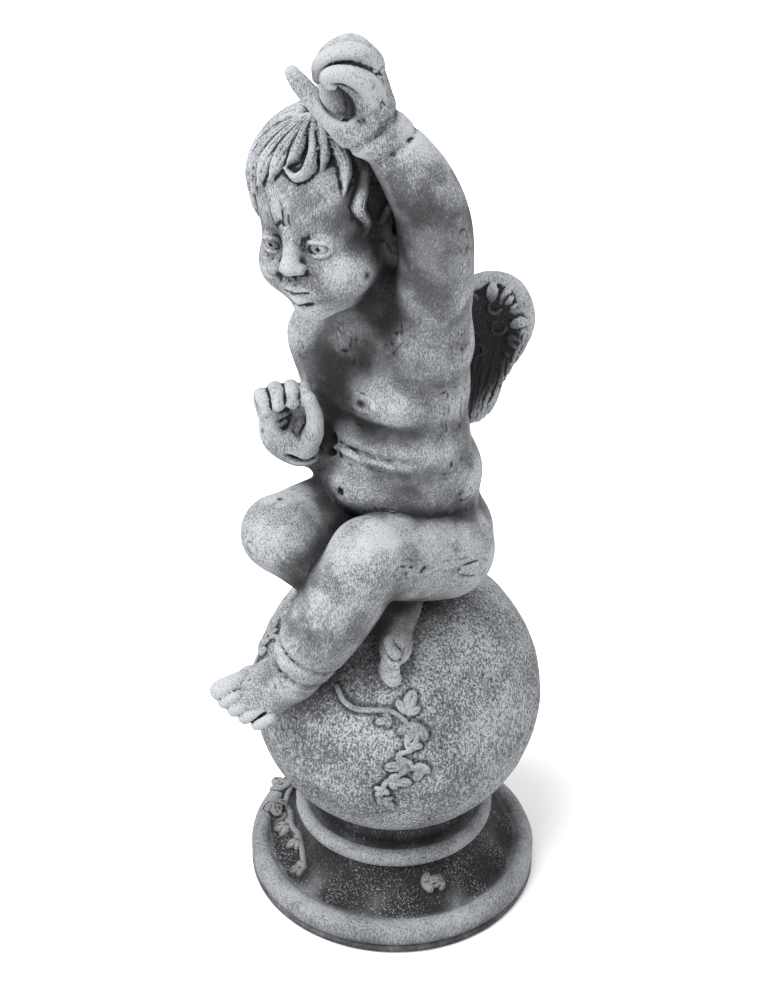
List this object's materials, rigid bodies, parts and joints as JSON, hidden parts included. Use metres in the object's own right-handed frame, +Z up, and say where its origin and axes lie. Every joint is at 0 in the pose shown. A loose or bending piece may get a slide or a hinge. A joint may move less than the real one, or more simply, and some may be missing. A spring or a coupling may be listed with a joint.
{
  "type": "angel figurine",
  "caption": "Winged child seated cross-legged on a ball on a round turned foot, cast in one piece in grey stone.",
  "frame": {"origin": "middle of the flat underside of the turned foot", "axes": "+Z up along the turned foot's axis, -Y the way the child's body faces, +X the child's left"},
  "size_m": [0.1659, 0.1889, 0.4999],
  "materials": {
    "cast_stone": "weathered grey cast stone with pale dry-brushed high spots and a near-black wash in the hollows"
  },
  "bodies": {
    "root": {"angel_figurine": "cast_stone"}
  },
  "joints": []
}
